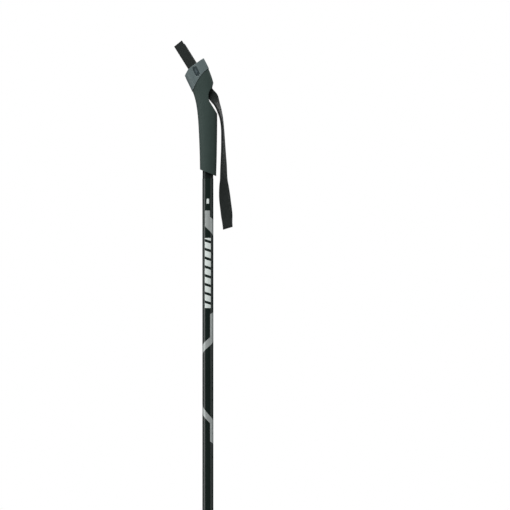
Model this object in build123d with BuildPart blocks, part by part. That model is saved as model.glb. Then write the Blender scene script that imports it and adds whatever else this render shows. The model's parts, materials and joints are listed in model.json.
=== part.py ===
from build123d import *
import os
from math import cos, radians, sin

# Driving dimensions, in millimetres. The origin is on the shaft's axis, at the top edge of the
# printed film. +Z is up, -X is forward, where the head leans, and +X is towards the strap.

# Shaft: a tube that narrows towards the tip, a printed film round its upper part, a plug
TUBE_RADIUS = 7.75
TUBE_FOOT_RADIUS = 5.0
TUBE_WALL = 1.0
TUBE_TOP = 92.0
TAPER_TOP = -580.0
TAPER_FOOT = -1180.0
TUBE_FOOT = -1235.0
FILM_RADIUS = 8.0
FILM_FOOT = -560.0
PLUG_RADIUS = 6.7
PLUG_HEAD_RADIUS = 7.7
PLUG_FOOT = 84.0
PLUG_TOP = 94.0

# Grip: its front and rear outlines (x, z), and its half width (half width, height)
GRIP_FRONT = [(-11.4, -6.0), (-11.8, 30.0), (-13.2, 68.0), (-15.5, 98.0), (-20.8, 122.6),
              (-28.65, 140.1), (-36.5, 158.8)]
GRIP_REAR = [(11.7, -6.0), (12.8, 30.0), (13.4, 68.0), (13.3, 96.0), (11.1, 121.5), (7.6, 140.4),
             (1.1, 158.7), (-8.1, 176.5)]
GRIP_HALF_WIDTH = [(11.2, -6.0), (12.0, 30.0), (13.0, 68.0), (13.6, 98.0), (13.6, 122.0),
                   (13.0, 168.0)]
GRIP_SECTION_COUNT = 13
SLEEVE_THICKNESS = 2.2
BORE_RADIUS = 7.85
BORE_TOP = 94.2
CORE_FOOT = 18.0
SKIRT_HEIGHT = 8.55
SKIRT_SLOPE = 0.4128

# Head: it leans forward, and its own side view has v rearward and u along the strap
HEAD_LEAN = 32.0
HEAD_CENTRE = Vector(-22.4, 0, 164.0)
V_DIR = Vector(cos(radians(HEAD_LEAN)), 0, sin(radians(HEAD_LEAN)))
U_DIR = Vector(-sin(radians(HEAD_LEAN)), 0, cos(radians(HEAD_LEAN)))
HEAD_SIDE = Plane(origin=HEAD_CENTRE, x_dir=V_DIR, z_dir=(0, -1, 0))
REACH = 30.0               # how far a cutter passes the head, on each side

# Scoop behind the head, in x and z: its floor is an arc, and the rest lies outside the grip
SCOOP_FLOOR = [(6.1, 131.8), (0.9, 120.0), (4.1, 108.9)]
SCOOP_OPENING = [(15.9, 90.0), (40.0, 90.0), (40.0, 139.3), (8.1, 139.3)]

# Line (v, u) where the cap meets the grip, from the rear to the front
CAP_SEAM = [(27.0, -17.4), (9.8, -17.5), (-4.2, -22.6), (-20.3, -32.2), (-27.0, -36.2)]
CAP_GAP = 0.4
CAP_PROUD = 0.7
CAP_TOP = [(-27.0, -11.9), (-8.2, -2.0), (18.6, 0.2), (27.0, 0.9)]

# Block on top of the core, under the cap: extents along v at two heights, and half widths
BLOCK_REAR = 12.4
BLOCK_FOOT = (-34.0, -15.5, 11.2)      # u, front v, half width
BLOCK_HEAD = (-7.0, -12.4, 10.4)
CAVITY_TOP = -4.0
CAVITY_GAP = 0.3

# Strap: two layers of webbing, side by side across Y
WEBBING_WIDTH = 14.4
WEBBING_THICKNESS = 1.5
LAYER_GAP = 0.2
STACK = 2 * WEBBING_THICKNESS + LAYER_GAP
CHANNEL_FRONT = -9.0
CHANNEL_REAR = 8.1
CHANNEL_TOP = (-5.5, 5.0)              # u, half opening
CHANNEL_WAIST = (-38.0, 3.0)
CHANNEL_MOUTH = (-56.0, 1.9)
CHANNEL_OVERLAP = 1.0                  # of its straight foot with its tapered top
CAP_SLOT_HALF = 2.2

# Free ends: v of the front edge, and u of the two corners of the cut
END_FOOT = -35.0
NEAR_END = (-8.1, 37.2, 39.0)
FAR_END = (-7.0, 31.2, 33.0)
THROAT_OUTLINE = [(-8.1, -36.3), (7.4, -36.3), (7.9, -46.0), (7.1, -55.0), (-3.9, -55.0),
                  (-7.4, -47.0)]

# Hanging strap: x, z, turn of its width out of the side view in degrees, and width
NECK_STATIONS = [
    (9.2, 116.3, 0, 11.0),
    (13.4, 106.8, 50, WEBBING_WIDTH),
    (17.6, 95.5, 75, WEBBING_WIDTH),
    (20.1, 86.0, 88, WEBBING_WIDTH),
    (21.2, 79.0, 90, WEBBING_WIDTH),
    (21.3, 75.3, 90, WEBBING_WIDTH),
]
LOOP_STATIONS = [
    (21.3, 72.6, 90, WEBBING_WIDTH),
    (22.0, 56.0, 80, WEBBING_WIDTH),
    (22.5, 38.6, 72, WEBBING_WIDTH),
    (22.8, 21.0, 61, WEBBING_WIDTH),
    (22.9, 4.0, 49, WEBBING_WIDTH),
    (23.5, -13.6, 25, WEBBING_WIDTH),
    (24.8, -31.0, 5, WEBBING_WIDTH),
    (26.9, -48.4, 0, WEBBING_WIDTH),
    (28.8, -72.2, 0, WEBBING_WIDTH),
]

# Wedge: a plate with two legs that jam the strap against the channel's walls
PLATE_FOOT = -6.6
PLATE_GAP = 0.05
LEG_INNER = 1.8
LEG_GAP = 0.15
LEG_FOOT = -36.0
LEG_FRONT = -8.1
LEG_REAR = 7.0

# Badge: an oval plate let into each side of the cap
BADGE_LENGTH = 14.6
BADGE_WIDTH = 7.0
BADGE_PLACE = (0.0, -10.6)
BADGE_TURN = 84.0
BADGE_FLOOR = -0.8
BADGE_PROUD = 0.55
BADGE_GAP = 0.1

# Foot: ferrule, basket, tip holder and carbide tip
TIP = -1275.0
FERRULE_TOP = TAPER_FOOT
FLANGE_TOP = -1203.0
SEAT_TOP = -1206.0
SEAT_FOOT = -1222.0
NOSE_TOP = -1243.0
FERRULE_FOOT = -1263.0
FERRULE_NECK_RADIUS = 6.6
FERRULE_SHOULDER_RADIUS = 7.2
FLANGE_RADIUS = 10.5
SEAT_RADIUS = 7.5
SNAP_RADIUS = 7.9
SNAP_GAP = 0.2             # between the basket's hub and the ridge that it snaps past
SNAP_HEIGHT = 0.8
NOSE_RADIUS = 5.0
FERRULE_BORE_GAP = 0.02
HOLDER_RADIUS = 3.0
HOLDER_TOP = -1252.0
HOLDER_FOOT = -1269.0
HOLDER_CHAMFER = (0.6, 1.0)
CARBIDE_RADIUS = 1.6
CARBIDE_TOP = -1262.0
CARBIDE_SHOULDER = -1273.0
CARBIDE_END_RADIUS = 1.0
SOCKET_GAP = 0.02

BASKET_BORE = 7.55
BASKET_HUB_RADIUS = 10.5
BASKET_HUB_FOOT = -1220.0
BASKET_TOP = -1211.0
BASKET_RIM_HEIGHT = 4.5
BASKET_WEB = 1.5
BASKET_RIM = 2.6
BASKET_RADIUS = 35.0
BASKET_SHIFT = 15.0        # the disc's centre is behind the shaft
BASKET_NOSE_RADIUS = 14.0
BASKET_NOSE = -12.0
RIB_WIDTH = 2.2
RIB_ANGLES = [0, 52, 104, 180, 256, 308]
WINDOWS = [(26, 31.0, 6.5), (78, 24.0, 6.0), (-26, 31.0, 6.5), (-78, 24.0, 6.0)]


def head_level(u):
    """Plane across the head at height u: its x is v, and its y is Y."""
    return Plane(origin=HEAD_CENTRE + U_DIR * u, x_dir=V_DIR, z_dir=U_DIR)


def outline(points):
    """Smooth line through points in the side view."""
    with BuildLine(Plane.XZ) as curve:
        Spline(*points)
    return curve.line


def grip_form(grow=0.0):
    """The grip's outer form from below the skirt to above the head, grown by a thickness."""
    front_line = outline(GRIP_FRONT)
    rear_line = outline(GRIP_REAR)
    width_line = outline(GRIP_HALF_WIDTH)
    with BuildPart() as form:
        for i in range(GRIP_SECTION_COUNT):
            share = i / (GRIP_SECTION_COUNT - 1)
            front = front_line @ share
            across = rear_line @ share - front
            level = Plane(origin=front + across / 2, x_dir=across,
                          z_dir=(-across.Z, 0, across.X))
            with BuildSketch(level):
                Ellipse(across.length / 2 + grow, (width_line @ share).X + grow)
        loft()
    return form.part


def above_seam(drop):
    """All that lies above the cap's seam, lowered by a distance."""
    seam = [(v, u - drop) for v, u in CAP_SEAM]
    with BuildPart() as region:
        with BuildSketch(HEAD_SIDE):
            with BuildLine():
                Spline(*seam)
                Polyline(seam[-1], (seam[-1][0], REACH), (seam[0][0], REACH), seam[0])
            make_face()
        extrude(amount=REACH, both=True)
    return region.part


def head_block(grow, top):
    """Tapered elliptical block that carries the cap, grown by a gap and ending at height top."""
    foot_u, foot_front, foot_half = BLOCK_FOOT
    head_u, head_front, head_half = BLOCK_HEAD
    with BuildPart() as block:
        for u in (foot_u, top):
            share = (u - foot_u) / (head_u - foot_u)
            front = foot_front + (head_front - foot_front) * share
            half_width = foot_half + (head_half - foot_half) * share
            with BuildSketch(head_level(u)):
                with Locations(((front + BLOCK_REAR) / 2, 0)):
                    Ellipse((BLOCK_REAR - front) / 2 + grow, half_width + grow)
        loft()
    return block.part


def strap_channel():
    """Way for the strap through the head, with tapered walls where the wedge sits."""
    middle = (CHANNEL_FRONT + CHANNEL_REAR) / 2
    width = CHANNEL_REAR - CHANNEL_FRONT
    with BuildPart() as channel:
        for u, half in (CHANNEL_TOP, CHANNEL_WAIST):
            with BuildSketch(head_level(u)):
                with Locations((middle, 0)):
                    Rectangle(width, 2 * half)
        loft()
        mouth_u, mouth_half = CHANNEL_MOUTH
        with BuildSketch(head_level(mouth_u)):
            with Locations((middle, 0)):
                Rectangle(width, 2 * mouth_half)
        extrude(amount=CHANNEL_WAIST[0] - mouth_u + CHANNEL_OVERLAP)
    return channel.part


def scoop():
    """Hollow behind the head, with a lip above, where the strap comes out and bends down."""
    with BuildPart() as hollow:
        with BuildSketch(Plane.XZ):
            with BuildLine():
                ThreePointArc(*SCOOP_FLOOR)
                Polyline(SCOOP_FLOOR[-1], *SCOOP_OPENING, SCOOP_FLOOR[0])
            make_face()
        extrude(amount=REACH, both=True)
    return hollow.part


def strap_planes(stations):
    """Cross planes of a hanging strap, with x across its width."""
    points = [Vector(x, 0, z) for x, z, turn, width in stations]
    planes = []
    for i, (x, z, turn, width) in enumerate(stations):
        ahead = points[min(i + 1, len(points) - 1)]
        behind = points[max(i - 1, 0)]
        along = (ahead - behind).normalized()
        flat_on = Vector(-along.Z, 0, along.X)
        across = flat_on * cos(radians(turn)) + Vector(0, 1, 0) * sin(radians(turn))
        planes.append(Plane(origin=points[i], x_dir=across, z_dir=along))
    return planes


def turned(points):
    """Solid of revolution about the shaft's axis, from (radius, z) points."""
    with BuildPart() as body:
        with BuildSketch(Plane.XZ):
            Polygon(*points, align=None)
        revolve(axis=Axis.Z)
    return body.part


def basket_outline(inset):
    """Plan of the basket: a disc set behind the shaft, drawn in to a nose in front."""
    with BuildSketch() as outline:
        with Locations((BASKET_SHIFT, 0)):
            Circle(BASKET_RADIUS - inset)
        with Locations((BASKET_NOSE, 0)):
            Circle(BASKET_NOSE_RADIUS - inset)
        make_hull()
    return outline.sketch


def badge_prism(side, gap):
    """Oval prism that stands on the badge's floor, grown by a gap, on one side of the head."""
    with BuildPart() as prism:
        with BuildSketch(HEAD_SIDE):
            with Locations(BADGE_PLACE):
                SlotOverall(BADGE_LENGTH + 2 * gap, BADGE_WIDTH + 2 * gap, rotation=BADGE_TURN)
        extrude(amount=side * REACH)
        add(grip_form(BADGE_FLOOR), mode=Mode.SUBTRACT)
    return prism.part


# ---- Shaft ----

with BuildPart() as shaft_tube:
    inner = TUBE_RADIUS - TUBE_WALL
    inner_foot = TUBE_FOOT_RADIUS - TUBE_WALL
    add(turned([
        (TUBE_RADIUS, TUBE_TOP), (inner, TUBE_TOP), (inner, TAPER_TOP), (inner_foot, TAPER_FOOT),
        (inner_foot, TUBE_FOOT), (TUBE_FOOT_RADIUS, TUBE_FOOT), (TUBE_FOOT_RADIUS, TAPER_FOOT),
        (TUBE_RADIUS, TAPER_TOP),
    ]))

with BuildPart() as shaft_film:
    with BuildSketch(Plane.XY.offset(FILM_FOOT)):
        Circle(FILM_RADIUS)
        Circle(TUBE_RADIUS, mode=Mode.SUBTRACT)
    extrude(amount=-FILM_FOOT)

with BuildPart() as shaft_plug:
    add(turned([
        (0, PLUG_FOOT), (PLUG_RADIUS, PLUG_FOOT), (PLUG_RADIUS, TUBE_TOP),
        (PLUG_HEAD_RADIUS, TUBE_TOP), (PLUG_HEAD_RADIUS, PLUG_TOP), (0, PLUG_TOP),
    ]))

# ---- Grip ----

scoop_cut = scoop()
channel_cut = strap_channel()

with BuildPart() as grip_core:
    add(grip_form(-SLEEVE_THICKNESS))
    add(above_seam(CAP_GAP), mode=Mode.SUBTRACT)
    split(bisect_by=Plane.XY.offset(CORE_FOOT), keep=Keep.TOP)
    add(head_block(0, BLOCK_HEAD[0]))
    add(scoop_cut, mode=Mode.SUBTRACT)
    add(channel_cut, mode=Mode.SUBTRACT)
    with BuildSketch(Plane.XY.offset(CORE_FOOT)):
        Circle(BORE_RADIUS)
    extrude(amount=BORE_TOP - CORE_FOOT, mode=Mode.SUBTRACT)

with BuildPart() as grip_sleeve:
    add(grip_form())
    add(above_seam(CAP_GAP), mode=Mode.SUBTRACT)
    skirt = Plane(origin=(0, 0, SKIRT_HEIGHT), z_dir=(SKIRT_SLOPE, 0, 1))
    split(bisect_by=skirt, keep=Keep.TOP)
    add(scoop_cut, mode=Mode.SUBTRACT)
    add(channel_cut, mode=Mode.SUBTRACT)
    add(grip_core.part, mode=Mode.SUBTRACT)
    with BuildSketch():
        Circle(BORE_RADIUS)
    extrude(amount=BORE_TOP, mode=Mode.SUBTRACT)

# ---- Strap lock: cap, badges and wedge ----

channel_middle = (CHANNEL_FRONT + CHANNEL_REAR) / 2
channel_width = CHANNEL_REAR - CHANNEL_FRONT

with BuildPart() as strap_cap:
    add(grip_form(CAP_PROUD))
    add(above_seam(0), mode=Mode.INTERSECT)
    with BuildSketch(HEAD_SIDE):
        Polygon(*CAP_TOP, (CAP_TOP[-1][0], REACH), (CAP_TOP[0][0], REACH), align=None)
    extrude(amount=REACH, both=True, mode=Mode.SUBTRACT)
    add(head_block(CAVITY_GAP, CAVITY_TOP), mode=Mode.SUBTRACT)
    with BuildSketch(head_level(CAVITY_TOP)):
        with Locations((channel_middle, 0)):
            Rectangle(channel_width, 2 * CAP_SLOT_HALF)
    extrude(amount=REACH, mode=Mode.SUBTRACT)
    for side in (1, -1):
        add(badge_prism(side, BADGE_GAP), mode=Mode.SUBTRACT)

badges = {}
for name, side in (("badge_left", 1), ("badge_right", -1)):
    with BuildPart() as badge:
        add(badge_prism(side, 0))
        add(grip_form(BADGE_PROUD), mode=Mode.INTERSECT)
    badges[name] = badge

with BuildPart() as strap_wedge:
    add(head_block(CAVITY_GAP - PLATE_GAP, CAVITY_TOP))
    split(bisect_by=head_level(PLATE_FOOT), keep=Keep.TOP)
    with BuildSketch(head_level(PLATE_FOOT)):
        with Locations((channel_middle, 0)):
            Rectangle(channel_width, 2 * LEG_INNER)
    extrude(amount=REACH, mode=Mode.SUBTRACT)
    wall_slope = (CHANNEL_TOP[1] - CHANNEL_WAIST[1]) / (CHANNEL_TOP[0] - CHANNEL_WAIST[0])
    for side in (-1, 1):
        for u in (LEG_FOOT, PLATE_FOOT):
            outer = CHANNEL_WAIST[1] + wall_slope * (u - CHANNEL_WAIST[0]) - LEG_GAP
            with BuildSketch(head_level(u)):
                with Locations(((LEG_FRONT + LEG_REAR) / 2, side * (LEG_INNER + outer) / 2)):
                    Rectangle(LEG_REAR - LEG_FRONT, outer - LEG_INNER)
        loft()

# ---- Strap ----

ends = {}
for name, start, (front, front_u, rear_u) in (("strap_end_near", LAYER_GAP / 2, NEAR_END),
                                             ("strap_end_far", -STACK / 2, FAR_END)):
    with BuildPart() as end:
        with BuildSketch(HEAD_SIDE.offset(start)):
            rear = front + WEBBING_WIDTH
            Polygon((front, END_FOOT), (rear, END_FOOT), (rear, rear_u), (front, front_u),
                    align=None)
        extrude(amount=WEBBING_THICKNESS)
    ends[name] = end

with BuildPart() as strap_throat:
    with BuildSketch(HEAD_SIDE):
        Polygon(*THROAT_OUTLINE, align=None)
    extrude(amount=STACK / 2, both=True)

with BuildPart() as strap_neck:
    for plane, (x, z, turn, width) in zip(strap_planes(NECK_STATIONS), NECK_STATIONS):
        with BuildSketch(plane):
            Rectangle(width, STACK)
    loft()

with BuildPart() as strap_loop:
    for plane, (x, z, turn, width) in zip(strap_planes(LOOP_STATIONS), LOOP_STATIONS):
        with BuildSketch(plane):
            Rectangle(width, STACK)
    loft()

# ---- Foot ----

with BuildPart() as tip_ferrule:
    bore = TUBE_FOOT_RADIUS + FERRULE_BORE_GAP
    socket = HOLDER_RADIUS + SOCKET_GAP
    add(turned([
        (bore, FERRULE_TOP), (FERRULE_NECK_RADIUS, FERRULE_TOP),
        (FERRULE_SHOULDER_RADIUS, FLANGE_TOP), (FLANGE_RADIUS, FLANGE_TOP),
        (FLANGE_RADIUS, SEAT_TOP), (SEAT_RADIUS, SEAT_TOP), (SEAT_RADIUS, BASKET_HUB_FOOT - SNAP_GAP),
        (SNAP_RADIUS, SEAT_FOOT + SNAP_HEIGHT), (SNAP_RADIUS, SEAT_FOOT),
        (NOSE_RADIUS, NOSE_TOP), (NOSE_RADIUS, FERRULE_FOOT), (socket, FERRULE_FOOT),
        (socket, HOLDER_TOP), (0, HOLDER_TOP), (0, TUBE_FOOT), (bore, TUBE_FOOT),
    ]))

with BuildPart() as tip_holder:
    socket = CARBIDE_RADIUS + SOCKET_GAP
    chamfer_in, chamfer_up = HOLDER_CHAMFER
    add(turned([
        (0, HOLDER_TOP), (HOLDER_RADIUS, HOLDER_TOP), (HOLDER_RADIUS, HOLDER_FOOT + chamfer_up),
        (HOLDER_RADIUS - chamfer_in, HOLDER_FOOT), (socket, HOLDER_FOOT), (socket, CARBIDE_TOP),
        (0, CARBIDE_TOP),
    ]))

with BuildPart() as carbide_tip:
    add(turned([
        (0, CARBIDE_TOP), (CARBIDE_RADIUS, CARBIDE_TOP), (CARBIDE_RADIUS, CARBIDE_SHOULDER),
        (CARBIDE_END_RADIUS, TIP), (0, TIP),
    ]))

with BuildPart() as basket:
    with BuildSketch(Plane.XY.offset(BASKET_TOP)):
        add(basket_outline(0))
        for angle, reach, radius in WINDOWS:
            with Locations((reach * cos(radians(angle)), reach * sin(radians(angle)))):
                Circle(radius, mode=Mode.SUBTRACT)
    extrude(amount=-BASKET_WEB)
    with BuildSketch(Plane.XY.offset(BASKET_TOP)):
        add(basket_outline(0))
        add(basket_outline(BASKET_RIM), mode=Mode.SUBTRACT)
    extrude(amount=-BASKET_RIM_HEIGHT)
    with BuildSketch(Plane.XY.offset(BASKET_TOP)):
        for angle in RIB_ANGLES:
            with Locations(Rotation(0, 0, angle)):
                Rectangle(2 * BASKET_RADIUS, RIB_WIDTH, align=(Align.MIN, Align.CENTER))
        add(basket_outline(BASKET_RIM / 2), mode=Mode.INTERSECT)
    extrude(amount=-BASKET_RIM_HEIGHT)
    with BuildSketch(Plane.XY.offset(BASKET_HUB_FOOT)):
        Circle(BASKET_HUB_RADIUS)
    extrude(amount=SEAT_TOP - BASKET_HUB_FOOT)
    with BuildSketch(Plane.XY.offset(BASKET_HUB_FOOT)):
        Circle(BASKET_BORE)
    extrude(amount=SEAT_TOP - BASKET_HUB_FOOT, mode=Mode.SUBTRACT)

# ---- Files ----

pieces = {
    "shaft_tube": shaft_tube,
    "shaft_film": shaft_film,
    "shaft_plug": shaft_plug,
    "grip_core": grip_core,
    "grip_sleeve": grip_sleeve,
    "strap_cap": strap_cap,
    "strap_wedge": strap_wedge,
    **badges,
    **ends,
    "strap_throat": strap_throat,
    "strap_neck": strap_neck,
    "strap_loop": strap_loop,
    "tip_ferrule": tip_ferrule,
    "tip_holder": tip_holder,
    "carbide_tip": carbide_tip,
    "basket": basket,
}
os.makedirs("parts", exist_ok=True)
for name, piece in pieces.items():
    piece.part.label = name
    export_step(piece.part, f"parts/{name}.step")
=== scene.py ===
import bpy
import json
from math import cos, pi, radians, sin, tan
import numpy as np
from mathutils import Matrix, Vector


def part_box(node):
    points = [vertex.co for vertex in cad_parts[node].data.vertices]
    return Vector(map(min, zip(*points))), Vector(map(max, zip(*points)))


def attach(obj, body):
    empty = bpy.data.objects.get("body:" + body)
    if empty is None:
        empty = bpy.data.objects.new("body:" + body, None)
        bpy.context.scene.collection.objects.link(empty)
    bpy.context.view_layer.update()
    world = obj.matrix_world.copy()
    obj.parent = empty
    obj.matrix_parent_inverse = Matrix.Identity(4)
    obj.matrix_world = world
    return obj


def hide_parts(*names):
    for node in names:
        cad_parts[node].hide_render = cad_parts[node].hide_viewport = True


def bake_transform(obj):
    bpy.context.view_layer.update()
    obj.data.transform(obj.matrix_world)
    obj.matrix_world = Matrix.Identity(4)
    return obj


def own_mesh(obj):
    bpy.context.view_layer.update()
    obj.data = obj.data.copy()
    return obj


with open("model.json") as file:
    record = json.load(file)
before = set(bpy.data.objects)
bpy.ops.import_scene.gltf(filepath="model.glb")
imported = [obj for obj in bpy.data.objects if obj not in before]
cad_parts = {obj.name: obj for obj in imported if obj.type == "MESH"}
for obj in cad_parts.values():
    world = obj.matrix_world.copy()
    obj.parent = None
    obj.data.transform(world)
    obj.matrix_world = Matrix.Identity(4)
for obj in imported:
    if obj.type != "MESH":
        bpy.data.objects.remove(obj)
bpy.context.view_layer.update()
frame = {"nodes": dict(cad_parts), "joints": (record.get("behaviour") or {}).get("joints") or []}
joints = {joint["name"]: joint for joint in frame["joints"]}

# ---- Places, in metres, in the model's own frame ----

ALONG_HEAD = Vector(joints["strap_adjust"]["axis"])     # up the head, along the strap
ACROSS_HEAD = Vector(joints["strap_sway"]["axis"])      # rearward across the head
HEAD_CENTRE = Vector((-0.0224, 0.0, 0.1640))            # the strap's middle where it leaves the cap
FILM_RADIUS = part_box("shaft_film")[1][0]
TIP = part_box("carbide_tip")[0][2]

VIEW_CENTRE = Vector((0.0683, 0.0, -0.1108))
VIEW_WIDTH = 0.7395
SENSOR = 36.0
LENS = 200.0
LIT_PLACE = Vector((0.0, 0.0, 0.03))      # what the softboxes face

WEBBING_WIDTH = 0.0144
WEBBING_THICKNESS = 0.0015
LAYER_STEP = 0.00085       # from the strap's middle plane to the middle of each layer


def add_camera():
    """Level camera, square to the pole's side."""
    data = bpy.data.cameras.new("camera")
    data.sensor_width = SENSOR
    data.lens = LENS
    camera = bpy.data.objects.new("camera", data)
    bpy.context.scene.collection.objects.link(camera)
    camera.location = VIEW_CENTRE + Vector((0.0, -VIEW_WIDTH * LENS / SENSOR, 0.0))
    camera.rotation_euler = (pi / 2, 0.0, 0.0)
    bpy.context.scene.camera = camera


add_camera()

# ---- Materials ----


def linear(red, green, blue):
    """A display colour, 0 to 255, as the shader's linear RGBA."""
    parts = [c / 255 for c in (red, green, blue)]
    return [c / 12.92 if c <= 0.04045 else ((c + 0.055) / 1.055) ** 2.4 for c in parts] + [1.0]


PRINT_SHARPNESS = 12000.0      # a print's edge fades over a twelfth of a millimetre
EDGE_SHARPNESS = 6.0           # how fast the mask of a rounded edge rises
BEVEL_SAMPLES = 6
COLOUR_A, COLOUR_B, COLOUR_RESULT = 6, 7, 2     # the Mix node's sockets for colours


class Finish:
    """A material's node tree, with short calls for the nodes that build it."""

    def __init__(self, name, **settings):
        self.material = bpy.data.materials.new(name)
        self.material.use_nodes = True
        self.tree = self.material.node_tree
        self.shader = self.tree.nodes["Principled BSDF"]
        self.place = self.node("ShaderNodeTexCoord").outputs["Object"]
        for socket, value in settings.items():
            self.set(socket.replace("_", " "), value)

    def put(self, socket, value):
        if isinstance(value, bpy.types.NodeSocket):
            self.tree.links.new(value, socket)
        else:
            socket.default_value = value

    def set(self, socket, value):
        self.put(self.shader.inputs[socket], value)

    def node(self, kind, **inputs):
        made = self.tree.nodes.new(kind)
        for socket, value in inputs.items():
            self.put(made.inputs[socket], value)
        return made

    def math(self, operation, *values, clamp=False):
        made = self.tree.nodes.new("ShaderNodeMath")
        made.operation = operation
        made.use_clamp = clamp
        for socket, value in zip(made.inputs, values):
            self.put(socket, value)
        return made.outputs[0]

    def parts(self, vector):
        return self.node("ShaderNodeSeparateXYZ", Vector=vector).outputs

    def vector(self, x, y, z):
        return self.node("ShaderNodeCombineXYZ", X=x, Y=y, Z=z).outputs[0]

    def dot(self, vector, direction):
        made = self.tree.nodes.new("ShaderNodeVectorMath")
        made.operation = "DOT_PRODUCT"
        self.put(made.inputs[0], vector)
        self.put(made.inputs[1], direction)
        return made.outputs["Value"]

    def noise(self, size, detail=2.0, stretch=(1.0, 1.0, 1.0)):
        """Noise from 0 to 1 whose lumps are about size metres across."""
        made = self.node("ShaderNodeMapping", Vector=self.place, Scale=stretch)
        grain = self.node("ShaderNodeTexNoise", Vector=made.outputs[0], Scale=1 / size,
                          Detail=detail)
        return grain.outputs["Fac"]

    def cells(self, size):
        """Rounded cells about size metres across, from 0 in their middles."""
        made = self.node("ShaderNodeTexVoronoi", Vector=self.place, Scale=1 / size)
        return made.outputs["Distance"]

    def scaled(self, value, low, high):
        """A value from 0 to 1 brought to the range low to high."""
        return self.math("MULTIPLY_ADD", value, high - low, low)

    def mix(self, share, first, second):
        made = self.tree.nodes.new("ShaderNodeMix")
        made.data_type = "RGBA"
        self.put(made.inputs["Factor"], share)
        self.put(made.inputs[COLOUR_A], first)
        self.put(made.inputs[COLOUR_B], second)
        return made.outputs[COLOUR_RESULT]

    def soft_edges(self, radius):
        """Normal that rounds the mesh's sharp edges, and a mask that is 1 on them."""
        rounded = self.tree.nodes.new("ShaderNodeBevel")
        rounded.samples = BEVEL_SAMPLES
        rounded.inputs["Radius"].default_value = radius
        normal = self.tree.nodes.new("ShaderNodeNewGeometry").outputs["Normal"]
        level = self.dot(rounded.outputs[0], normal)
        drop = self.math("SUBTRACT", 1.0, level)
        edge = self.math("MULTIPLY", drop, EDGE_SHARPNESS, clamp=True)
        return rounded.outputs[0], edge

    def relief(self, *layers, normal=None):
        """Bumps, given as pairs of height and depth in metres, one on another."""
        for height, depth in layers:
            made = self.node("ShaderNodeBump", Height=height, Distance=depth, Strength=1.0)
            if normal is not None:
                self.put(made.inputs["Normal"], normal)
            normal = made.outputs[0]
        self.set("Normal", normal)

    def inside(self, place, corners):
        """1 inside a convex outline given anticlockwise, where place is (x, y, 1)."""
        depth = None
        for (x0, y0), (x1, y1) in zip(corners, corners[1:] + corners[:1]):
            length = ((x1 - x0) ** 2 + (y1 - y0) ** 2) ** 0.5
            across, up = (y0 - y1) / length, (x1 - x0) / length
            side = self.dot(place, (across, up, -across * x0 - up * y0))
            depth = side if depth is None else self.math("MINIMUM", depth, side)
        return self.math("MULTIPLY", depth, PRINT_SHARPNESS, clamp=True)

    def any_of(self, masks):
        joined = masks[0]
        for mask in masks[1:]:
            joined = self.math("MAXIMUM", joined, mask)
        return joined


def rubber_finish():
    """Soft grip compound: fine pebble, faint mottling, edges polished by the glove."""
    made = Finish("grip_rubber", Specular_IOR_Level=0.35, Sheen_Weight=0.05, Sheen_Roughness=0.5)
    mottle = made.noise(0.012, 4.0)
    normal, edge = made.soft_edges(0.0011)
    tone = made.mix(mottle, linear(41, 56, 52), linear(52, 67, 63))
    made.set("Base Color", made.mix(made.math("MULTIPLY", edge, 0.5), tone, linear(66, 78, 75)))
    grain = made.noise(0.0004, 3.0)
    rough = made.math("MULTIPLY_ADD", grain, 0.18, made.scaled(mottle, 0.50, 0.58))
    made.set("Roughness", made.math("MULTIPLY_ADD", edge, -0.10, rough))
    made.relief((made.cells(0.0009), 0.00005), (grain, 0.00004), normal=normal)
    return made.material


def cap_finish():
    """Grey moulded cap: spark-eroded grain, edges rubbed lighter."""
    made = Finish("cap_plastic", Specular_IOR_Level=0.45)
    mottle = made.noise(0.009, 3.0)
    normal, edge = made.soft_edges(0.0010)
    tone = made.mix(mottle, linear(88, 100, 101), linear(96, 109, 110))
    made.set("Base Color", made.mix(made.math("MULTIPLY", edge, 0.6), tone, linear(130, 140, 141)))
    grain = made.noise(0.00035, 3.0)
    rough = made.math("MULTIPLY_ADD", grain, 0.16, 0.42)
    made.set("Roughness", made.math("MULTIPLY_ADD", edge, -0.12, rough))
    made.relief((grain, 0.00004), (made.noise(0.003), 0.00006), normal=normal)
    return made.material


# Badge on the head: its middle, and the block on it, as (across, up the head)
BADGE_PLACE = (0.0, -0.0106)
BADGE_MARK = [(-0.0018, -0.0042), (0.0012, -0.0022), (0.0018, 0.0042), (-0.0012, 0.0022)]


def badge_finish():
    """Dark oval plate with a plain raised block, cut at a slant."""
    made = Finish("badge_plastic", Coat_Weight=0.35, Coat_Roughness=0.18)
    up = made.dot(made.place, ALONG_HEAD)
    across = made.dot(made.place, ACROSS_HEAD)
    up = made.math("SUBTRACT", up, HEAD_CENTRE.dot(ALONG_HEAD) + BADGE_PLACE[1])
    across = made.math("SUBTRACT", across, HEAD_CENTRE.dot(ACROSS_HEAD) + BADGE_PLACE[0])
    place = made.vector(across, up, 1.0)
    mark = made.inside(place, BADGE_MARK)
    normal, edge = made.soft_edges(0.0006)
    mottle = made.noise(0.002, 3.0)
    tone = made.mix(mottle, linear(42, 54, 57), linear(50, 62, 65))
    tone = made.mix(made.math("MULTIPLY", edge, 0.5), tone, linear(90, 100, 104))
    made.set("Base Color", made.mix(mark, tone, linear(72, 84, 88)))
    made.set("Roughness", made.scaled(mottle, 0.30, 0.42))
    made.relief((mark, 0.00025), (made.noise(0.0003), 0.00002), normal=normal)
    return made.material


YARN_WIDTH = 0.0009
YARN_LENGTH = 0.0016
SEALED_LENGTH = 0.0022


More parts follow.
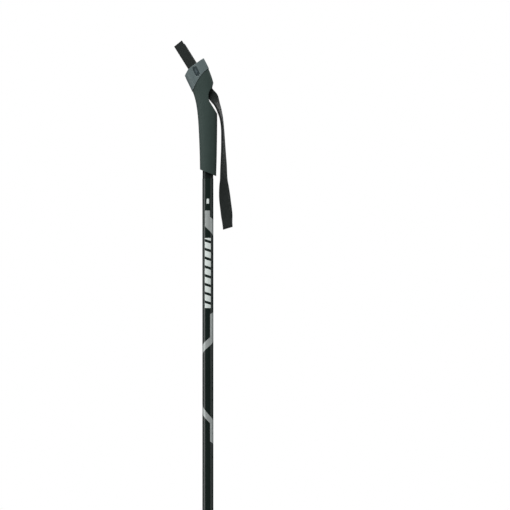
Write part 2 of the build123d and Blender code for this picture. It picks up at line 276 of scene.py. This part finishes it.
def webbing_finish():
    """Woven webbing: staggered yarns, cut ends sealed by heat."""
    made = Finish("webbing", Sheen_Weight=0.2, Sheen_Roughness=0.4, Specular_IOR_Level=0.3)
    across, along, _ = made.parts(made.node("ShaderNodeTexCoord").outputs["UV"])
    column = made.math("DIVIDE", across, YARN_WIDTH)
    row = made.math("DIVIDE", along, YARN_LENGTH)
    odd = made.math("MODULO", made.math("FLOOR", column), 2.0)
    row = made.math("MULTIPLY_ADD", odd, 0.5, row)
    crown = made.math("ABSOLUTE", made.math("SINE", made.math("MULTIPLY", column, pi)))
    swell = made.math("ABSOLUTE", made.math("SINE", made.math("MULTIPLY", row, pi)))
    swell = made.math("POWER", swell, 0.6)
    weave = made.math("MULTIPLY", crown, swell)
    sealed = made.math("SUBTRACT", 1.0, made.math("DIVIDE", along, SEALED_LENGTH), clamp=True)
    weave = made.math("MULTIPLY", weave, made.math("SUBTRACT", 1.0, sealed))
    fibre = made.noise(0.00015, 2.0)
    fade = made.noise(0.018, 3.0)
    # painted shade: the colour follows the weave's height, so the gaps between yarns are darker and
    # the yarn tops lighter
    tone = made.mix(weave, linear(10, 14, 13), linear(34, 40, 38))
    tone = made.mix(made.math("MULTIPLY", fade, 0.45), tone, linear(30, 36, 34))
    tone = made.mix(made.math("MULTIPLY", fibre, 0.25), tone, linear(48, 54, 52))
    made.set("Base Color", made.mix(sealed, tone, linear(20, 22, 22)))
    rough = made.math("MULTIPLY_ADD", weave, -0.15, 0.85)
    made.set("Roughness", made.math("MULTIPLY_ADD", sealed, -0.4, rough))
    made.relief((weave, 0.00022), (fibre, 0.00003))
    return made.material


WRAP = 0.020                   # how far round the printed shapes reach

# Printed shapes on the film: (distance round, height), anticlockwise and convex
SILVER_SHAPES = [
    [(-0.0043, -0.0693), (WRAP, -0.0925), (WRAP, -0.0666), (0.0031, -0.0554), (-0.0043, -0.0554)],
    [(-0.0043, -0.0554), (0.0031, -0.0554), (0.0031, -0.0464), (-0.0043, -0.0464)],
    [(0.0034, -0.2418), (WRAP, -0.2277), (WRAP, -0.1896), (0.0034, -0.1963)],
    [(-WRAP, -0.2622), (0.0034, -0.2418), (0.0034, -0.2297), (-WRAP, -0.2499)],
    [(-WRAP, -0.3313), (0.0034, -0.3544), (0.0034, -0.3440), (-WRAP, -0.3180)],
    [(0.0034, -0.3806), (WRAP, -0.3908), (WRAP, -0.3600), (0.0034, -0.3440)],
]
TOP_MARK = [(-0.0018, -0.0365), (0.0018, -0.0365), (0.0018, -0.0293), (-0.0018, -0.0293)]
BARS = [(-0.0046, -0.1876), (0.0046, -0.1876), (0.0046, -0.0861), (-0.0046, -0.0861)]
BAR_PITCH = 0.0127
BAR_SLANT = 0.32
BAR_SHARE = 0.70
BAR_SHARPNESS = 60.0


def film_finish():
    """Gloss black film with silver shapes that wrap round it and a row of slanted white bars."""
    made = Finish("film", Coat_Weight=0.5, Coat_Roughness=0.08, Specular_IOR_Level=0.5)
    x, y, z = made.parts(made.place)
    turn = made.math("ARCTAN2", x, made.math("MULTIPLY", y, -1.0))
    round_it = made.math("MULTIPLY", turn, FILM_RADIUS)
    place = made.vector(round_it, z, 1.0)
    silver = made.any_of([made.inside(place, shape) for shape in SILVER_SHAPES])
    slanted = made.math("MULTIPLY_ADD", round_it, BAR_SLANT, z)
    step = made.math("FRACT", made.math("DIVIDE", slanted, BAR_PITCH))
    bar = made.math("MULTIPLY", made.math("SUBTRACT", BAR_SHARE, step), BAR_SHARPNESS,
                    clamp=True)
    bars = made.math("MULTIPLY", made.inside(place, BARS), bar)
    white = made.math("MAXIMUM", bars, made.inside(place, TOP_MARK))
    flake = made.noise(0.00025, 1.0)
    haze = made.noise(0.03, 4.0, (1.0, 1.0, 0.25))
    black = made.mix(haze, linear(9, 25, 20), linear(14, 30, 25))
    ink = made.mix(flake, linear(176, 182, 180), linear(196, 201, 199))
    tone = made.mix(silver, black, ink)
    made.set("Base Color", made.mix(white, tone, linear(232, 240, 236)))
    scratches = made.noise(0.0009, 3.0, (1.0, 1.0, 0.03))
    rough = made.math("MULTIPLY_ADD", scratches, 0.10, made.scaled(haze, 0.20, 0.28))
    made.set("Roughness", made.math("MULTIPLY_ADD", silver, 0.12, rough))
    made.set("Metallic", made.math("MULTIPLY", silver, 0.35))
    print_step = made.math("MAXIMUM", silver, white)
    made.relief((print_step, 0.00002), (scratches, 0.000004))
    return made.material


def alloy_finish():
    """Black anodised tube with fine drawn lines."""
    made = Finish("tube_alloy", Specular_IOR_Level=0.5)
    lines = made.noise(0.0005, 4.0, (1.0, 1.0, 0.02))
    haze = made.noise(0.05, 3.0)
    made.set("Base Color", made.mix(haze, linear(20, 27, 26), linear(30, 37, 36)))
    made.set("Metallic", made.scaled(haze, 0.45, 0.55))
    made.set("Roughness", made.math("MULTIPLY_ADD", lines, 0.14, 0.24))
    made.relief((lines, 0.00001))
    return made.material


def moulded_finish(name, dark, light, rough, edge_tone):
    """Moulded plastic with a fine grain, from its two tones and the tone of rubbed edges."""
    made = Finish(name)
    mottle = made.noise(0.01, 3.0)
    grain = made.noise(0.0005, 3.0)
    normal, edge = made.soft_edges(0.0008)
    tone = made.mix(mottle, linear(*dark), linear(*light))
    made.set("Base Color", made.mix(made.math("MULTIPLY", edge, 0.5), tone, linear(*edge_tone)))
    made.set("Roughness", made.math("MULTIPLY_ADD", grain, 0.15, rough))
    made.relief((grain, 0.00004), normal=normal)
    return made.material


def metal_finish(name, dark, light, rough):
    """Turned metal: rings round the axis and a little staining."""
    made = Finish(name, Metallic=1.0)
    rings = made.noise(0.0004, 2.0, (0.02, 0.02, 1.0))
    stain = made.noise(0.004, 4.0)
    made.set("Base Color", made.mix(stain, linear(*dark), linear(*light)))
    made.set("Roughness", made.math("MULTIPLY_ADD", stain, 0.15, rough))
    made.relief((rings, 0.00003))
    return made.material


def floor_finish():
    made = Finish("floor", Roughness=0.9)
    made.set("Base Color", made.mix(made.noise(0.4, 3.0), linear(226, 227, 227),
                                    linear(234, 235, 235)))
    return made.material


webbing = webbing_finish()
node_finishes = {
    "grip_sleeve": rubber_finish(),
    "strap_cap": cap_finish(),
    "shaft_film": film_finish(),
    "shaft_tube": alloy_finish(),
    "tip_holder": metal_finish("steel", (128, 130, 131), (150, 152, 153), 0.3),
    "carbide_tip": metal_finish("carbide", (88, 89, 92), (104, 105, 107), 0.4),
}
badge_plastic = badge_finish()
inner_plastic = moulded_finish("inner_plastic", (48, 50, 50), (56, 58, 58), 0.5, (80, 82, 82))
foot_plastic = moulded_finish("foot_plastic", (28, 30, 30), (36, 38, 38), 0.45, (66, 68, 68))
for name in ("badge_left", "badge_right"):
    node_finishes[name] = badge_plastic
for name in ("grip_core", "shaft_plug", "strap_wedge"):
    node_finishes[name] = inner_plastic
for name in ("tip_ferrule", "basket"):
    node_finishes[name] = foot_plastic
for name, finish in node_finishes.items():
    frame["nodes"][name].material_slots[0].material = finish

# ---- Strap ----

# Middle line of the hanging strap below the head: x, z, and the turn of its width in degrees
STRAP_LINE = [
    (0.0082, 0.1177, 22), (0.0101, 0.1139, 40), (0.0126, 0.1090, 58), (0.0155, 0.1020, 69),
    (0.0176, 0.0950, 75), (0.0192, 0.0890, 80), (0.0203, 0.0820, 83), (0.0212, 0.0734, 83.5),
    (0.0220, 0.0560, 79), (0.0225, 0.0386, 72),
    (0.0228, 0.0210, 61), (0.0229, 0.0040, 49), (0.0235, -0.0136, 25), (0.0248, -0.0310, 5),
    (0.0269, -0.0484, 0), (0.0284, -0.0658, 0), (0.0287, -0.0694, 0),
]
HEAD_HEIGHTS = [-0.0345, -0.0400, -0.0455]      # heights on the head's line, strap flat-on
NECK_SHIFT = -0.0002           # of the strap's middle across the head
SAMPLE = 0.0012
NECK_END_Z = 0.0900
LOOP_TOP_Z = 0.0450
SPLAY = 0.0013                 # how far the layers slide apart across the width, above the fold
FOLD_OPENING = 0.0012
FOLD_REACH = 0.012
FOLD_SKEW = tan(radians(12))
FOLD_STEPS = 10
FOLD_SKEW_REACH = 0.018
SPLAY_HEIGHTS = (0.03, -0.03)
SPLAY_FADE = 0.02
STRAP_START = 0.08             # where the weave is counted from, clear of the sealed ends
FACE_POINTS = 11
SELVEDGE_ANGLES = [60, 30, 0, -30, -60]


def smooth_rows(rows, step):
    """Rows of (x, z, turn) along a smooth line through the given ones, about step apart."""
    rows = np.array(rows, float)
    reach = np.concatenate([[0.0], np.cumsum(np.hypot(*np.diff(rows[:, :2], axis=0).T))])
    slopes = np.gradient(rows, reach, axis=0)
    at = np.linspace(0.0, reach[-1], round(reach[-1] / step) + 1)
    i = np.clip(np.searchsorted(reach, at, side="right") - 1, 0, len(reach) - 2)
    span = (reach[i + 1] - reach[i])[:, None]
    t = (at - reach[i])[:, None] / span
    return ((2 * t**3 - 3 * t**2 + 1) * rows[i] + (t**3 - 2 * t**2 + t) * span * slopes[i]
            + (3 * t**2 - 2 * t**3) * rows[i + 1] + (t**3 - t**2) * span * slopes[i + 1])


def smoothstep(value, low, high):
    share = np.clip((value - low) / (high - low), 0.0, 1.0)
    return share * share * (3 - 2 * share)


def strap_frames():
    """Middle line, direction, width and face directions of the strap from the head down."""
    rows = []
    for height in HEAD_HEIGHTS:
        point = HEAD_CENTRE + ALONG_HEAD * height + ACROSS_HEAD * NECK_SHIFT
        rows.append((point.x, point.z, 0))
    rows = smooth_rows(rows + STRAP_LINE, SAMPLE)
    middle = np.column_stack([rows[:, 0], np.zeros(len(rows)), rows[:, 1]])
    down = np.gradient(middle, axis=0)
    down /= np.linalg.norm(down, axis=1)[:, None]
    flat = np.column_stack([-down[:, 2], np.zeros(len(rows)), down[:, 0]])
    turn = np.radians(rows[:, 2])[:, None]
    width = np.cos(turn) * flat + np.sin(turn) * np.array([0.0, 1.0, 0.0])
    face = np.cross(width, down)
    return middle, down, width, face


def webbing_outline():
    """The webbing's cross-section: flat faces and round selvedges, as (across, up) pairs."""
    half = WEBBING_THICKNESS / 2
    flat = WEBBING_WIDTH / 2 - half
    angles = np.radians(SELVEDGE_ANGLES)
    outline = [(x, half) for x in np.linspace(-flat, flat, FACE_POINTS)]
    outline += [(flat + half * cos(a), half * sin(a)) for a in angles]
    outline += [(x, -half) for x in np.linspace(flat, -flat, FACE_POINTS)]
    outline += [(-flat - half * cos(a), half * sin(a)) for a in angles[::-1]]
    return outline


def ribbon(name, path, width, ahead, start, skew=None):
    """Webbing along a path. start is its distance along the strap, and skew shifts its sides."""
    path = np.array(path)
    face = np.cross(width, ahead)
    face /= np.linalg.norm(face, axis=1)[:, None]
    skew = np.zeros((len(path), 3)) if skew is None else skew
    outline = webbing_outline()
    count = len(outline)
    verts = []
    for i in range(len(path)):
        verts += [path[i] + (width[i] + skew[i]) * x + face[i] * y for x, y in outline]
    along = start + np.concatenate([[0.0],
                                    np.cumsum(np.linalg.norm(np.diff(path, axis=0), axis=1))])
    faces = []
    marks = []
    for i in range(len(path) - 1):
        for j in range(count):
            k = (j + 1) % count
            faces.append((i * count + j, i * count + k, (i + 1) * count + k, (i + 1) * count + j))
            marks.append([(outline[j][0], along[i]), (outline[k][0], along[i]),
                          (outline[k][0], along[i + 1]), (outline[j][0], along[i + 1])])
    last = (len(path) - 1) * count
    faces += [tuple(reversed(range(count))), tuple(range(last, last + count))]
    for row in (0, -1):
        marks.append([(x, along[row]) for x, y in outline])
    marks[-2].reverse()
    mesh = bpy.data.meshes.new(name)
    mesh.from_pydata([tuple(v) for v in verts], [], faces)
    layer = mesh.uv_layers.new(name="weave")
    flat_marks = [mark for face_marks in marks for mark in face_marks]
    for loop, (x, y) in zip(layer.data, flat_marks):
        loop.uv = (x + WEBBING_WIDTH / 2, y)
    mesh.polygons.foreach_set("use_smooth", [True] * (len(faces) - 2) + [False, False])
    for edge in mesh.edges:
        lowest, highest = min(edge.vertices), max(edge.vertices)
        edge.use_edge_sharp = highest < count or lowest >= last
    mesh.materials.append(webbing)
    piece = bpy.data.objects.new(name, mesh)
    bpy.context.scene.collection.objects.link(piece)
    return piece


# Free ends: piece, CAD node, side, shift across the head, and height of the cut up the head
ENDS = [("strap_tail_near", "strap_end_near", -1, -0.0009, 0.0381),
        ("strap_tail_far", "strap_end_far", 1, 0.0002, 0.0321)]
END_FOOT = -0.0340
END_SAMPLES = 60
END_SLANT = 0.12
END_SLANT_REACH = 0.012


def add_ends():
    """The two free ends: straight up out of the cap, one a little shorter and set rearward."""
    for name, node, side, shift, top in ENDS:
        heights = np.linspace(top, END_FOOT, END_SAMPLES)
        base = HEAD_CENTRE + ACROSS_HEAD * shift + Vector((0.0, side * LAYER_STEP, 0.0))
        path = [np.array(base + ALONG_HEAD * h) for h in heights]
        width = np.tile(np.array(ACROSS_HEAD), (len(path), 1))
        slant = np.tile(np.array(ALONG_HEAD), (len(path), 1)) * END_SLANT
        slant *= smoothstep(heights, top - END_SLANT_REACH, top)[:, None]
        ahead = np.tile(-np.array(ALONG_HEAD), (len(path), 1))
        piece = ribbon(name, path, width, ahead, 0.0, slant)
        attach(piece, "strap_ends")
        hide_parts(node)


def add_strap():
    """The hanging strap: two layers down from the head, and one folded piece at the bottom."""
    middle, down, width, face = strap_frames()
    from_fold = np.linalg.norm(np.diff(middle, axis=0), axis=1)[::-1].cumsum()[::-1]
    from_fold = np.append(from_fold, 0.0)
    height = middle[:, 2]
    splay = SPLAY * smoothstep(height, *SPLAY_HEIGHTS) * smoothstep(from_fold, 0.0, SPLAY_FADE)
    step = LAYER_STEP + FOLD_OPENING * smoothstep(-from_fold, -FOLD_REACH, 0.0)
    layers = {}
    for name, side in (("near", -1), ("far", 1)):
        layers[name] = middle + face * (side * step)[:, None] + width * (side * splay)[:, None]
    neck = int(np.argmin(abs(height - NECK_END_Z)))
    loop = int(np.argmin(abs(height - LOOP_TOP_Z)))
    along = from_fold[0] - from_fold + STRAP_START
    for name, path in layers.items():
        upper = ribbon(f"strap_upper_{name}", path[:neck + 1], width[:neck + 1],
                       down[:neck + 1], along[0])
        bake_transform(upper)
        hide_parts("strap_throat", "strap_neck")
        lower = ribbon(f"strap_lower_{name}", path[neck:loop + 1], width[neck:loop + 1],
                       down[neck:loop + 1], along[neck])
        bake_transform(lower)
        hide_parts("strap_loop")
    # The fold: down the near layer, round, and up the far one
    turns = np.linspace(0.0, pi, FOLD_STEPS + 1)[1:-1]
    radius = step[-1]
    bend = [middle[-1] + down[-1] * radius * sin(a) - face[-1] * radius * cos(a) for a in turns]
    path = np.vstack([layers["near"][loop:], bend, layers["far"][loop:][::-1]])
    bend_width = np.tile(width[-1], (len(bend), 1))
    widths = np.vstack([width[loop:], bend_width, width[loop:][::-1]])
    bend_ahead = [down[-1] * cos(a) + face[-1] * sin(a) for a in turns]
    ahead = np.vstack([down[loop:], bend_ahead, -down[loop:][::-1]])
    lean = -down * FOLD_SKEW * smoothstep(-from_fold, -FOLD_SKEW_REACH, 0.0)[:, None]
    bend_lean = np.tile(lean[-1], (len(bend), 1))
    leans = np.vstack([lean[loop:], bend_lean, lean[loop:][::-1]])
    bottom = ribbon("strap_fold", path, widths, ahead, along[loop], leans)
    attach(bottom, "strap_loop")
    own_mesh(bottom)
    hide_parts("strap_loop")


add_ends()
add_strap()

# ---- Studio ----

# Softboxes: name, azimuth and elevation in degrees, distance, size and power
SOFTBOXES = [
    ("front_softbox", -14, 52, 1.9, (1.1, 0.8), 37),
    ("back_softbox", 165, 55, 1.9, (1.3, 1.0), 34),
    ("left_softbox", -80, 4, 1.5, (0.9, 2.6), 12),
    ("right_softbox", 72, 2, 1.6, (0.5, 2.6), 4),
]
FLOOR_REACH = 3.0
FLOOR_SIDES = 64
BACKDROP_TINT = (1.0, 1.0, 1.0, 1.0)
AMBIENT_TINT = (0.9, 1.0, 0.98, 1.0)
AMBIENT_STRENGTH = 0.08

def add_softbox(name, azimuth, elevation, distance, size, power):
    """A rectangular area light that faces the grip. Azimuth 0 is the camera's side."""
    data = bpy.data.lights.new(name, "AREA")
    data.shape = "RECTANGLE"
    data.size, data.size_y = size
    data.energy = power
    light = bpy.data.objects.new(name, data)
    bpy.context.scene.collection.objects.link(light)
    a, e = radians(azimuth), radians(elevation)
    towards = Vector((sin(a) * cos(e), -cos(a) * cos(e), sin(e)))
    light.location = LIT_PLACE + towards * distance
    aim = LIT_PLACE - light.location
    light.rotation_euler = aim.to_track_quat("-Z", "Y").to_euler()


def add_floor():
    mesh = bpy.data.meshes.new("floor")
    angles = np.linspace(0, 2 * pi, FLOOR_SIDES + 1)[:-1]
    rim = [(FLOOR_REACH * cos(a), FLOOR_REACH * sin(a), TIP) for a in angles]
    mesh.from_pydata(rim, [], [tuple(range(len(rim)))])
    mesh.materials.append(floor_finish())
    floor = bpy.data.objects.new("floor", mesh)
    bpy.context.scene.collection.objects.link(floor)


def add_world():
    """White behind the object, and a dim even light on it."""
    world = bpy.data.worlds.new("studio")
    bpy.context.scene.world = world
    world.use_nodes = True
    tree = world.node_tree
    backdrop = tree.nodes.new("ShaderNodeBackground")
    backdrop.inputs["Color"].default_value = BACKDROP_TINT
    ambient = tree.nodes["Background"]
    ambient.inputs["Color"].default_value = AMBIENT_TINT
    ambient.inputs["Strength"].default_value = AMBIENT_STRENGTH
    choice = tree.nodes.new("ShaderNodeMixShader")
    ray = tree.nodes.new("ShaderNodeLightPath")
    tree.links.new(ray.outputs["Is Camera Ray"], choice.inputs["Fac"])
    tree.links.new(ambient.outputs[0], choice.inputs[1])
    tree.links.new(backdrop.outputs[0], choice.inputs[2])
    tree.links.new(choice.outputs[0], tree.nodes["World Output"].inputs["Surface"])


add_floor()
add_world()
for softbox in SOFTBOXES:
    add_softbox(*softbox)
bpy.context.scene.view_settings.view_transform = "Standard"
